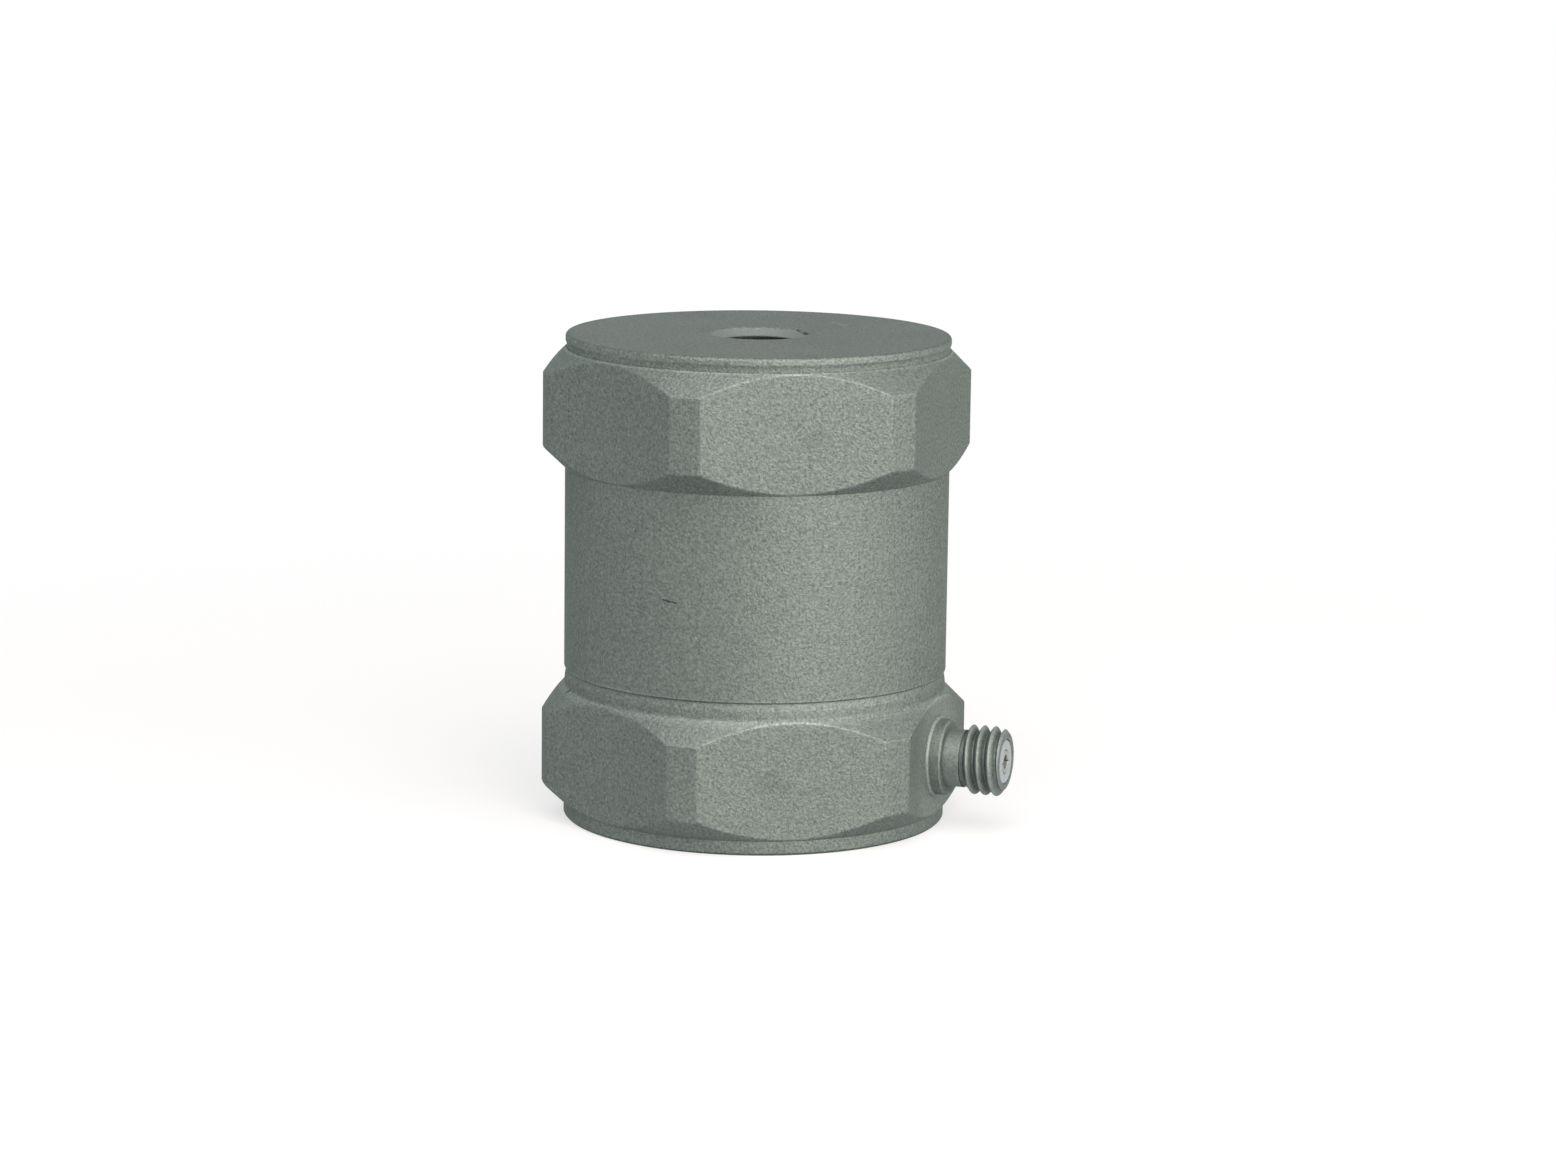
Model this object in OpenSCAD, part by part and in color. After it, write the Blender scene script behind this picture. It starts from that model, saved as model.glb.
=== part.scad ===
// Vibration sensor with a double-hexagon body, a side coaxial connector and a tapped hole at each end.
// The origin is the centre of the base's underside, +Z is up and the connector points along +X.

/* [Body] */
// Diameter of the barrel and of the plain rims
body_d = 26.8; // [25:0.1:26.9]
// Diameter of the round bar that both hexagons are milled from
corner_d = 30; // [29:0.1:31]
// Size of both hexagons across their flats
hex_af = 27; // [26.9:0.1:29]
// Height of a hexagon's corner between its chamfers
hex_land_h = 5.2; // [4.5:0.1:8]
// Height of the chamfer under each hexagon
chamfer_low_h = 1.5; // [1:0.1:2.5]
// Height of the chamfer on top of each hexagon
chamfer_up_h = 1.6; // [1:0.1:2.5]
// Height of the plain rim under the low hexagon
base_rim_h = 1; // [0.6:0.1:3]
// Height of the plain collar between the low hexagon and the weld seam
collar_h = 1.2; // [0.8:0.1:3]
// Height of the barrel between the weld seam and the upper hexagon
barrel_h = 14.2; // [13:0.1:20]
// Height of the plain rim on top of the upper hexagon
top_rim_h = 1; // [0.8:0.1:3]
// Thickness of the housing's wall
wall_t = 1.5; // [1:0.1:2.2]

/* [Edges] */
// Bevel of the base's lower edge
foot_bevel = 0.15; // [0.05:0.05:0.4]
// Radius of the housing's top edge
top_edge_r = 0.25; // [0.1:0.05:0.4]
// Height of the bevelled lip under the weld seam
lip_h = 0.5; // [0.2:0.1:0.7]
// Depth of the bevelled lip under the weld seam
lip_t = 0.15; // [0.05:0.05:0.3]
// Bevel of the housing's edge above the weld seam
seam_bevel = 0.1; // [0.05:0.05:0.3]
// Height of the tool groove under the top rim
groove_h = 0.4; // [0.2:0.1:0.5]
// Depth of the tool groove under the top rim
groove_t = 0.1; // [0.05:0.05:0.2]

/* [Tapped holes] */
// Nominal diameter of the thread in each end
mount_thread_d = 6; // [5:1:8]
// Pitch of the thread in each end
mount_pitch = 1; // [0.75:0.05:1.25]
// Full-width depth of each tapped hole
mount_depth = 5; // [3.5:0.1:6]
// How far the countersink in the base's underside reaches past the thread
base_sink_w = 0.3; // [0.1:0.1:1]
// How far the countersink in the housing's top reaches past the thread
top_sink_w = 0.5; // [0.1:0.1:1]
// Full angle of both countersinks
sink_angle = 120; // [90:1:120]
// Full angle of the drill's point
drill_angle = 118; // [90:1:150]
// Metal left above the drill point in the base, under the post's screw
base_web_t = 1.5; // [0.8:0.1:2]
// Metal left under the drill point in the housing's top
top_web_t = 1.3; // [0.8:0.1:3]

/* [Connector] */
// Outside diameter of the connector's thread
conn_thread_d = 4.826; // [4.6:0.002:6]
// Length of the connector's thread
conn_thread_l = 2.2; // [1.5:0.1:6]
// Diameter of the collar on the hexagon's flat
conn_collar_d = 5.3; // [5:0.1:6.4]
// Length of the collar on the hexagon's flat
conn_collar_l = 0.95; // [0.4:0.05:2]
// Leg of the weld round the collar's foot
conn_weld = 0.2; // [0.1:0.05:0.4]
// Bevel of the collar's edge
conn_bevel = 0.1; // [0.05:0.05:0.3]
// Diameter of the smooth neck
conn_neck_d = 4; // [3.9:0.02:4.4]
// Length of the smooth neck
conn_neck_l = 1.15; // [0.5:0.05:3]
// Diameter of the relief behind the thread
conn_relief_d = 3.86; // [3.7:0.02:4]
// Length of the relief behind the thread
conn_relief_l = 0.3; // [0.2:0.05:1]
// Diameter of the end face
conn_tip_d = 4.1; // [3.7:0.05:4.4]
// Length of the chamfer at the end
conn_tip_l = 0.35; // [0.2:0.05:0.6]
// Diameter of the tail inside the base
conn_tail_d = 4.4; // [4:0.1:5]
// Length of the tail inside the base
conn_tail_l = 1.5; // [1:0.1:1.8]
// Diameter of the insulator
insulator_d = 3.04; // [2.4:0.02:3.4]
// Diameter of the socket contact
contact_d = 1.6; // [1.2:0.1:2]
// Diameter of the socket's hole
socket_d = 1; // [0.6:0.1:1.1]
// Depth of the socket's hole
socket_l = 2; // [1:0.1:2.5]
// Length of the contact's wide socket end
contact_l = 2.8; // [2.6:0.1:4]
// Diameter of the contact's pin inside the sensor
contact_pin_d = 0.8; // [0.5:0.1:1.1]
// Radius of the chamber behind the connector
chamber_r = 1.6; // [1:0.1:2]

/* [Sensing element] */
// Height of the spigot that centres the housing on the base
spigot_h = 1; // [0.6:0.1:2]
// Diameter of the post's foot
foot_d = 12; // [9:0.5:14]
// Height of the post's foot
foot_h = 1.2; // [0.8:0.1:2]
// Distance of the post's three flats from its axis
post_flat_r = 3; // [2.5:0.1:3.6]
// Radius to which the post's three corners are turned
post_corner_r = 4.6; // [4.2:0.1:5.2]
// Thickness of a crystal plate
plate_t = 1; // [0.5:0.1:1.5]
// Width of a crystal plate
plate_w = 5.6; // [3:0.1:6]
// Gap between the post's foot and the plates and masses
element_gap = 0.6; // [0.3:0.1:1]
// How far the post stands above the plates and masses
post_over = 0.4; // [0.2:0.1:1]
// Gap between neighbouring masses
mass_gap = 1.2; // [0.6:0.1:2]
// Height of the preload ring
ring_h = 4; // [2:0.1:4.5]
// Thickness of the preload ring
ring_t = 0.9; // [0.6:0.1:1.5]
// Nominal diameter of the post's screw
screw_d = 3; // [2:0.5:3]
// Diameter of the post screw's head
screw_head_d = 5.5; // [4.5:0.1:6]
// Height of the post screw's head
screw_head_h = 2; // [1.4:0.1:3]
// Key size of the post screw's socket
screw_key_af = 2; // [1.5:0.1:2.5]

/* [Amplifier board] */
// Thickness of the board
board_t = 1; // [0.6:0.1:1.6]
// Room above the board for its parts
board_room = 2.8; // [2.4:0.1:4]
// Room between the board and the head of the post's screw
under_board = 0.7; // [0.3:0.1:2]
// Key size of the pillars that carry the board
pillar_af = 2.2; // [1.8:0.1:2.6]
// Diameter of the pillars' studs and of the board's screws
stud_d = 1.2; // [0.8:0.1:1.4]
// Length of a pillar's stud in the base
stud_l = 1.4; // [0.8:0.1:2]
// Depth to which a board screw goes into its pillar
board_screw_l = 2; // [1:0.1:4]
// Diameter of a board screw's head
board_head_d = 2.4; // [2:0.1:2.6]
// Height of a board screw's head
board_head_h = 0.9; // [0.6:0.1:1.4]
// Length of the amplifier chip's body
chip_l = 5; // [4:0.1:6]
// Width of the amplifier chip's body
chip_w = 4; // [3:0.1:4.6]
// Height of the amplifier chip's body
chip_h = 1.5; // [1:0.1:2]
// Length of a chip resistor
resistor_l = 1.6; // [1:0.1:2]
// Length of the coupling capacitor
capacitor_l = 3.2; // [2:0.1:4]
// Diameter of the inner wires
lead_d = 0.6; // [0.3:0.1:0.7]
// Diameter of the wire's channel through the base
channel_d = 1.8; // [1.2:0.1:2]

/* [Clearances] */
// Radial gap of pieces that fit into each other
fit_gap = 0.05; // [0.02:0.01:0.1]
// Gap between the housing's wall and the pieces inside it
wall_gap = 0.4; // [0.3:0.1:0.8]
// Gap at the end of a blind hole
end_gap = 0.3; // [0.1:0.1:0.5]

/* [Hidden] */
$fn = 96;

steel = [0.55, 0.58, 0.55];
thread_steel = [0.47, 0.50, 0.47];
white = [0.93, 0.94, 0.95];
nickel = [0.66, 0.68, 0.64];
brass = [0.80, 0.64, 0.30];
ceramic = [0.85, 0.80, 0.68];
tungsten = [0.38, 0.38, 0.40];
board_green = [0.10, 0.35, 0.20];
chip_black = [0.08, 0.08, 0.09];
copper = [0.72, 0.45, 0.28];

// A cutting body reaches this far past the face it cuts
over = 1;

// Levels of the outside, from the bottom up
body_r = body_d / 2;
corner_r = corner_d / 2;
facet_x = hex_af / 2;
hex_h = chamfer_low_h + hex_land_h + chamfer_up_h;
low_hex_z = base_rim_h;
seam_z = low_hex_z + hex_h + collar_h;
up_hex_z = seam_z + barrel_h;
rim_z = up_hex_z + hex_h;
top_z = rim_z + top_rim_h;

// Tapped holes
tap_r = (mount_thread_d - mount_pitch) / 2;
base_sink_r = mount_thread_d / 2 + base_sink_w;
top_sink_r = mount_thread_d / 2 + top_sink_w;
base_sink_h = (base_sink_r - tap_r) / tan(sink_angle / 2);
top_sink_h = (top_sink_r - tap_r) / tan(sink_angle / 2);
point_h = tap_r / tan(drill_angle / 2);

// Levels and radii of the inside
bore_r = body_r - wall_t;
spigot_r = bore_r - fit_gap;
base_top_z = seam_z + spigot_h;
ceiling_z = top_z - mount_depth - point_h - top_web_t;
board_z = ceiling_z - board_room - board_t;
board_top_z = board_z + board_t;
board_r = bore_r - wall_gap;
post_top_z = board_z - under_board - screw_head_h;
foot_top_z = base_top_z + foot_h;
plate_z = foot_top_z + element_gap;
plate_h = post_top_z - post_over - plate_z;
post_hole_z = mount_depth + point_h + base_web_t;
pillar_corner_r = pillar_af / 2 / cos(30);
pillar_pos_r = board_r - pillar_corner_r;
ring_out_r = pillar_pos_r - pillar_corner_r - wall_gap;
ring_in_r = ring_out_r - ring_t;
mass_in_r = post_flat_r + plate_t;
mass_out_r = ring_in_r - fit_gap;
mass_half_w = (mass_in_r * sin(60) - mass_gap / 2) / cos(60);
ring_z = plate_z + (plate_h - ring_h) / 2;
stud_hole_r = stud_d / 2 + fit_gap;

// Places along the connector, measured from the sensor's axis
conn_z = low_hex_z + chamfer_low_h + hex_land_h / 2;
tail_x = facet_x - conn_tail_l;
collar_x = facet_x + conn_collar_l;
neck_x = collar_x + conn_neck_l;
thread_x = neck_x + conn_relief_l;
thread_end_x = thread_x + conn_thread_l;
tip_x = thread_end_x + conn_tip_l;
lead_pos_r = pillar_pos_r;
pin_end_x = lead_pos_r - lead_d;
chamber_x = lead_pos_r - channel_d / 2 - end_gap;
insulator_bore_r = insulator_d / 2 + fit_gap;
contact_x = tip_x - contact_l;

// Angles round the axis
third = 120;
pillar_a = 60;
signal_a = 120;

// Parts on the board
chip_foot_t = 0.2;
chip_foot_w = 0.4;
chip_foot_pitch = 1.27;
chip_foot_l = 0.6;
chip_lift = 0.1;
chip_feet = 4;
small_part_ratio = 0.5;
resistor_count = 3;
resistor_pitch = 2;
resistor_y = 5.5;
capacitor_y = -5.5;

// Outline of a hexagon's bar with its two chamfers, from level z up
function hex_bar(z) = [
    [body_r, z],
    [corner_r, z + chamfer_low_h],
    [corner_r, z + chamfer_low_h + hex_land_h],
    [body_r, z + hex_h]
];

// Six flats milled on the bar between z and the hexagon's top
module hex_flats(z) {
    for (i = [0:5])
        rotate(60 * i)
            translate([facet_x, -corner_r, z])
                cube([corner_r, corner_d, hex_h]);
}

// Tool that leaves a round of radius r inside the corner at the origin
module corner_round(r) {
    translate([-r, -r])
        difference() {
            square(2 * r);
            circle(r);
        }
}

// A round bar along +X at the connector's height, from x0 to x1
module along_x(r, x0, x1) {
    translate([x0, 0, conn_z])
        rotate([0, 90, 0])
            cylinder(r = r, h = x1 - x0);
}

// A turned piece along +X: its outline holds distances along the connector and radii
module turned_x(outline) {
    translate([0, 0, conn_z])
        rotate([0, 90, 0])
            rotate_extrude()
                polygon([for (p = outline) [p[1], p[0]]]);
}

module base() {
    outline = concat(
        [[0, mount_depth + point_h], [tap_r, mount_depth], [tap_r, base_sink_h], [base_sink_r, 0]],
        [[body_r - foot_bevel, 0], [body_r, foot_bevel]],
        hex_bar(low_hex_z),
        [[body_r, seam_z - lip_h], [body_r - lip_t, seam_z], [spigot_r, seam_z], [spigot_r, base_top_z]],
        [[screw_d / 2 + fit_gap, base_top_z], [screw_d / 2 + fit_gap, post_hole_z], [0, post_hole_z]]
    );
    color(steel)
        difference() {
            rotate_extrude()
                polygon(outline);
            hex_flats(low_hex_z);
            along_x(conn_tail_d / 2 + fit_gap, tail_x, facet_x + over);
            along_x(chamber_r, chamber_x, facet_x);
            translate([lead_pos_r, 0, conn_z])
                cylinder(d = channel_d, h = base_top_z + over - conn_z);
            for (i = [0:2])
                rotate(pillar_a + third * i)
                    translate([pillar_pos_r, 0, base_top_z - stud_l - end_gap])
                        cylinder(r = stud_hole_r, h = stud_l + end_gap + over);
        }
}

module housing() {
    outline = concat(
        [[bore_r, seam_z], [body_r - seam_bevel, seam_z], [body_r, seam_z + seam_bevel]],
        hex_bar(up_hex_z),
        [[body_r - groove_t, rim_z], [body_r - groove_t, rim_z + groove_h], [body_r, rim_z + groove_h + groove_t]],
        [[body_r, top_z], [top_sink_r, top_z], [tap_r, top_z - top_sink_h]],
        [[tap_r, top_z - mount_depth], [0, top_z - mount_depth - point_h], [0, ceiling_z], [bore_r, ceiling_z]]
    );
    color(steel)
        difference() {
            rotate_extrude()
                difference() {
                    polygon(outline);
                    translate([body_r, top_z])
                        corner_round(top_edge_r);
                }
            hex_flats(up_hex_z);
        }
}

module connector_shell() {
    color(thread_steel)
        turned_x([
            [tail_x, insulator_bore_r],
            [tail_x, conn_tail_d / 2],
            [facet_x, conn_tail_d / 2],
            [facet_x, conn_collar_d / 2 + conn_weld],
            [facet_x + conn_weld, conn_collar_d / 2],
            [collar_x - conn_bevel, conn_collar_d / 2],
            [collar_x, conn_collar_d / 2 - conn_bevel],
            [collar_x, conn_neck_d / 2],
            [neck_x, conn_neck_d / 2],
            [neck_x, conn_relief_d / 2],
            [thread_x, conn_relief_d / 2],
            [thread_x, conn_thread_d / 2],
            [thread_end_x, conn_thread_d / 2],
            [tip_x, conn_tip_d / 2],
            [tip_x, insulator_bore_r]
        ]);
}

module connector_insulator() {
    color(white)
        turned_x([
            [tail_x, contact_pin_d / 2 + fit_gap],
            [tail_x, insulator_d / 2],
            [tip_x, insulator_d / 2],
            [tip_x, contact_d / 2 + fit_gap],
            [contact_x, contact_d / 2 + fit_gap],
            [contact_x, contact_pin_d / 2 + fit_gap]
        ]);
}

module connector_contact() {
    color(nickel)
        turned_x([
            [pin_end_x, 0],
            [pin_end_x, contact_pin_d / 2],
            [contact_x, contact_pin_d / 2],
            [contact_x, contact_d / 2],
            [tip_x, contact_d / 2],
            [tip_x, socket_d / 2],
            [tip_x - socket_l, socket_d / 2],
            [tip_x - socket_l, 0]
        ]);
}

module element_post() {
    color(steel)
        difference() {
            union() {
                translate([0, 0, base_top_z])
                    cylinder(d = foot_d, h = foot_h);
                intersection() {
                    translate([0, 0, base_top_z])
                        rotate(60)
                            cylinder(r = 2 * post_flat_r, h = post_top_z - base_top_z, $fn = 3);
                    translate([0, 0, base_top_z])
                        cylinder(r = post_corner_r, h = post_top_z - base_top_z);
                }
            }
            translate([0, 0, base_top_z - over])
                cylinder(r = screw_d / 2 + fit_gap, h = post_top_z - base_top_z + 2 * over);
        }
}

module post_screw() {
    color(tungsten)
        difference() {
            union() {
                translate([0, 0, post_hole_z + end_gap])
                    cylinder(d = screw_d, h = post_top_z - post_hole_z - end_gap);
                translate([0, 0, post_top_z])
                    cylinder(d = screw_head_d, h = screw_head_h);
            }
            translate([0, 0, post_top_z + screw_head_h / 2])
                cylinder(d = screw_key_af / cos(30), h = screw_head_h, $fn = 6);
        }
}

module piezo_plate(i) {
    color(ceramic)
        rotate(third * i)
            translate([post_flat_r, -plate_w / 2, plate_z])
                cube([plate_t, plate_w, plate_h]);
}

module seismic_mass(i) {
    color(tungsten)
        rotate(third * i)
            intersection() {
                translate([0, 0, plate_z])
                    cylinder(r = mass_out_r, h = plate_h);
                translate([mass_in_r, -mass_half_w, plate_z])
                    cube([mass_out_r, 2 * mass_half_w, plate_h]);
            }
}

module preload_ring() {
    color(steel)
        translate([0, 0, ring_z])
            difference() {
                cylinder(r = ring_out_r, h = ring_h);
                translate([0, 0, -over])
                    cylinder(r = ring_in_r, h = ring_h + 2 * over);
            }
}

module board_pillar(i) {
    color(brass)
        rotate(pillar_a + third * i)
            translate([pillar_pos_r, 0, 0])
                difference() {
                    union() {
                        translate([0, 0, base_top_z])
                            cylinder(r = pillar_corner_r, h = board_z - base_top_z, $fn = 6);
                        translate([0, 0, base_top_z - stud_l])
                            cylinder(d = stud_d, h = stud_l + over);
                    }
                    translate([0, 0, board_z - board_screw_l - end_gap])
                        cylinder(r = stud_hole_r, h = board_screw_l + end_gap + over);
                }
}

module circuit_board() {
    color(board_green)
        difference() {
            translate([0, 0, board_z])
                cylinder(r = board_r, h = board_t);
            for (i = [0:2])
                rotate(pillar_a + third * i)
                    translate([pillar_pos_r, 0, board_z - over])
                        cylinder(r = stud_hole_r, h = board_t + 2 * over);
        }
}

module board_screws() {
    color(tungsten)
        for (i = [0:2])
            rotate(pillar_a + third * i)
                translate([pillar_pos_r, 0, 0]) {
                    translate([0, 0, board_z - board_screw_l])
                        cylinder(d = stud_d, h = board_t + board_screw_l);
                    translate([0, 0, board_top_z])
                        cylinder(d = board_head_d, h = board_head_h);
                }
}

// One bent foot of the chip on the side that faces +Y
module chip_foot(x) {
    translate([x - chip_foot_w / 2, chip_w / 2 - chip_foot_t, board_top_z + chip_h / 2])
        cube([chip_foot_w, chip_foot_l, chip_foot_t]);
    translate([x - chip_foot_w / 2, chip_w / 2 - chip_foot_t + chip_foot_l - chip_foot_t, board_top_z])
        cube([chip_foot_w, chip_foot_t, chip_h / 2 + chip_foot_t]);
}

module amplifier_chip() {
    color(chip_black)
        union() {
            translate([-chip_l / 2, -chip_w / 2, board_top_z + chip_lift])
                cube([chip_l, chip_w, chip_h - chip_lift]);
            for (side = [0, 180])
                rotate(side)
                    for (k = [0:chip_feet - 1])
                        chip_foot((k - (chip_feet - 1) / 2) * chip_foot_pitch);
        }
}

module board_resistors() {
    color(chip_black)
        for (k = [0:resistor_count - 1])
            translate([(k - (resistor_count - 1) / 2) * resistor_pitch, resistor_y, board_top_z])
                translate([-resistor_l * small_part_ratio / 2, -resistor_l / 2, 0])
                    cube([resistor_l * small_part_ratio, resistor_l, resistor_l * small_part_ratio]);
}

module coupling_capacitor() {
    color(ceramic)
        translate([-capacitor_l / 2, capacitor_y - capacitor_l * small_part_ratio / 2, board_top_z])
            cube([capacitor_l, capacitor_l * small_part_ratio, capacitor_l * small_part_ratio]);
}

module signal_lead() {
    color(copper)
        rotate(signal_a)
            translate([ring_out_r - ring_t / 2, 0, ring_z + ring_h])
                cylinder(d = lead_d, h = board_z - ring_z - ring_h);
}

module output_lead() {
    color(copper)
        translate([lead_pos_r, 0, conn_z + contact_pin_d / 2])
            cylinder(d = lead_d, h = board_z - conn_z - contact_pin_d / 2);
}

base();
housing();
connector_shell();
connector_insulator();
connector_contact();
element_post();
post_screw();
for (i = [1:3]) {
    piezo_plate(i);
    seismic_mass(i);
    board_pillar(i);
}
preload_ring();
circuit_board();
board_screws();
amplifier_chip();
board_resistors();
coupling_capacitor();
signal_lead();
output_lead();
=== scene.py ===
"""Looks of a vibration sensor: a double-hexagon steel body, its side connector and a plain white stage."""

import math

import bmesh
import bpy
from bpy.props import FloatProperty, FloatVectorProperty, PointerProperty
from mathutils import Matrix, Quaternion, Vector


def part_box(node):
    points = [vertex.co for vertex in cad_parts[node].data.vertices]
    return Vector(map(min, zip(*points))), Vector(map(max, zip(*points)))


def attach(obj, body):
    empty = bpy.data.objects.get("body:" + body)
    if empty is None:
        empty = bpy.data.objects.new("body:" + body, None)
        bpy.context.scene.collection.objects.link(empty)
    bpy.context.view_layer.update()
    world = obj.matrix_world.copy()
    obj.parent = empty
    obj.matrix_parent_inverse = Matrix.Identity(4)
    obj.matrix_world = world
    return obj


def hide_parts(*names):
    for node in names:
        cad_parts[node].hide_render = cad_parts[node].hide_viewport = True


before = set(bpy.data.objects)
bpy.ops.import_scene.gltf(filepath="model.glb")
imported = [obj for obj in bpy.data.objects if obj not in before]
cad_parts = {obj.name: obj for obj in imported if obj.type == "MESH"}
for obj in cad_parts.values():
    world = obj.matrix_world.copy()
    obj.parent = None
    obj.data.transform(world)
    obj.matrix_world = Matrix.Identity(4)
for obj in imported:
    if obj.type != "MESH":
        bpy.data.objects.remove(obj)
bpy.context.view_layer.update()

bl_info = {
    "name": "Vibration Sensor Looks",
    "version": (1, 0, 0),
    "blender": (4, 5, 0),
    "location": "View3D > Sidebar > Sensor",
    "description": "Builds the sensor's blasted body, threaded connector, inner finishes and photo stage",
    "category": "Object",
}

MM = 0.001
BASE_LOW, BASE_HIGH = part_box("base")
HOUSING_LOW, HOUSING_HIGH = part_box("housing")
SHELL_LOW, SHELL_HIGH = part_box("connector_shell")
PLASTIC_LOW, PLASTIC_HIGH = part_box("connector_insulator")
CONTACT_LOW, CONTACT_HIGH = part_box("connector_contact")
CONNECTOR_Z = (SHELL_LOW.z + SHELL_HIGH.z) / 2

# Sides of the hexagons, and steps and rows of the meshes
SIDES = 6
FLAT_STEPS = 30
LAND_STEPS = 5
ROUND_STEPS = 96
ROD_STEPS = 48
ARC_STEPS = 5
WELD_STEPS = 6
TAP_ROWS = 16
THREAD_ROWS = 24
EDGE_SEGMENTS = 3
FLOOR_CELLS = 8
MERGE_DISTANCE = 1e-7
PLANE_DISTANCE = 1e-6
# How far faces bend at the edges of the plain rings, at the hexagons' edges and at sharp edges
RING_BEND = math.radians(8)
CORNER_BEND = math.radians(20)
SHARP_BEND = math.radians(32)
# Share of the lip's depth in which an edge counts as a ring's, and wear with a painted highlight on the top
# rim's rounding
RING_REACH = 0.9
TOP_RIM_WEAR_AND_HIGHLIGHT = 0.1


def length(name, description, millimetres):
    """A size property in metres, written in millimetres"""
    return FloatProperty(
        name=name,
        description=description,
        default=millimetres * MM,
        min=0.0,
        precision=5,
        subtype="DISTANCE",
        unit="LENGTH",
    )


def angle(name, description, degrees):
    """An angle property in radians, written in degrees"""
    return FloatProperty(
        name=name,
        description=description,
        default=math.radians(degrees),
        subtype="ANGLE",
        unit="ROTATION",
    )


def colour(name, description, red, green, blue):
    """A colour property, in linear light"""
    return FloatVectorProperty(
        name=name,
        description=description,
        default=(red, green, blue),
        min=0.0,
        soft_max=1.0,
        size=3,
        subtype="COLOR",
    )


def share(name, description, value):
    """A plain number from nought to one"""
    return FloatProperty(
        name=name,
        description=description,
        default=value,
        min=0.0,
        max=1.0,
        subtype="FACTOR",
    )


class BodySizes(bpy.types.PropertyGroup):
    """Sizes of the turned and milled body"""

    barrel_r: length("Barrel radius", "Radius of the barrel and of the plain rims", 13.4)
    land_h: length("Land height", "Height of a hexagon's corner between its chamfers", 5.2)
    chamfer_low_h: length("Low chamfer", "Height of the chamfer under each hexagon", 1.5)
    chamfer_up_h: length("Upper chamfer", "Height of the chamfer on top of each hexagon", 1.6)
    rim_h: length("Rim height", "Height of the plain rim at each end", 1.0)
    edge_round: length("Edge rounding", "Rounding that blasting left on the hexagons' edges", 0.09)
    foot_bevel: length("Foot bevel", "Bevel of the base's lower edge", 0.15)
    top_round: length("Top rounding", "Radius of the housing's top edge", 0.25)
    lip_h: length("Lip height", "Height of the bevelled lip under the weld seam", 0.5)
    lip_t: length("Lip depth", "Depth of the bevelled lip under the weld seam", 0.2)
    collar_t: length("Collar taper", "How far the collar under the lip narrows upwards", 0.07)
    seam_bevel: length("Seam bevel", "Bevel of the housing's edge above the weld seam", 0.1)
    ring_round: length("Ring rounding", "Width of the rounding on the edges of the plain rings", 0.04)
    groove_h: length("Groove height", "Height of the floor of the tool groove under the top rim", 0.25)
    groove_run: length("Groove run-out", "Height of the slope from the groove up to the rim", 0.25)
    groove_t: length("Groove depth", "Depth of the tool groove under the top rim", 0.1)
    bore_r: length("Bore radius", "Radius of the housing's hollow", 11.9)
    ceiling_t: length("Ceiling", "Distance from the housing's top face down to its hollow", 7.802)
    spigot_gap: length("Spigot gap", "Radial gap between the base's spigot and the housing", 0.05)
    tap_r: length("Tap hole radius", "Radius of the tapped holes at the threads' crests", 2.5)
    thread_r: length("Thread radius", "Radius of the tapped holes at the threads' roots", 3.0)
    thread_pitch: length("Thread pitch", "Pitch of the tapped holes' threads", 1.0)
    tap_depth: length("Tap depth", "Full-width depth of each tapped hole", 5.0)
    point_h: length("Drill point", "Height of the drill's point at the end of each hole", 1.502)
    base_sink_r: length("Base countersink", "Radius of the countersink in the underside", 3.3)
    top_sink_r: length("Top countersink", "Radius of the countersink in the top face", 3.5)
    sink_angle: angle("Countersink angle", "Full angle of both countersinks", 120)
    screw_hole_r: length("Screw hole radius", "Radius of the hole for the post's screw", 1.55)
    screw_hole_z: length("Screw hole floor", "Level of the floor of the post screw's hole", 8.002)
    stud_hole_r: length("Stud hole radius", "Radius of the holes for the board's pillars", 0.65)
    stud_hole_l: length("Stud hole depth", "Depth of the holes for the board's pillars", 1.7)
    channel_r: length("Channel radius", "Radius of the wire's channel through the base", 0.9)
    chamber_r: length("Chamber radius", "Radius of the chamber behind the connector", 1.6)
    chamber_x: length("Chamber end", "Distance of the chamber's end from the axis", 9.03)


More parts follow.
